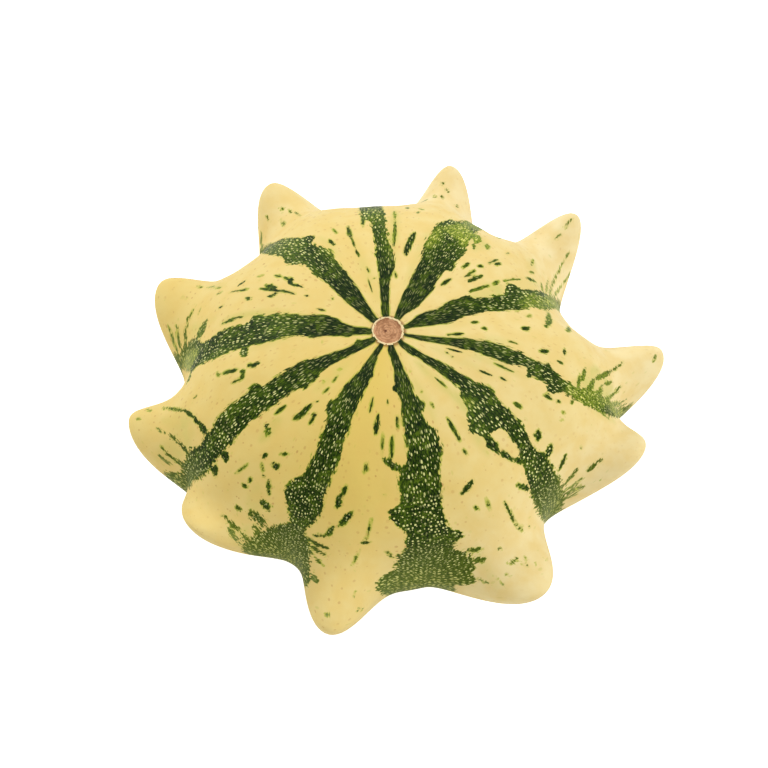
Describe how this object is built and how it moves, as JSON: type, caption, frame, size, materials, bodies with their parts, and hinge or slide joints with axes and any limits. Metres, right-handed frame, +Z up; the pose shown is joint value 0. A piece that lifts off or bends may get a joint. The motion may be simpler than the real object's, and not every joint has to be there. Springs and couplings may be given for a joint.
{
  "type": "hedgehog gourd",
  "caption": "Small ornamental gourd with a ribbed crown, a ring of blunt horns, green stripes in the valleys and a corky stem scar. It stands on its blossom end.",
  "frame": {"origin": "middle of the small flat spot under the blossom end, which the gourd rests on", "axes": "+Z up through the stem scar, -Y towards the picture's viewer, +X to that viewer's right"},
  "size_m": [0.1237, 0.1214, 0.0636],
  "materials": {
    "gourd_skin": "smooth hard rind with a low wax sheen, pale yellow with mottled dark green stripes"
  },
  "bodies": {
    "root": {"gourd": "gourd_skin"}
  },
  "joints": []
}
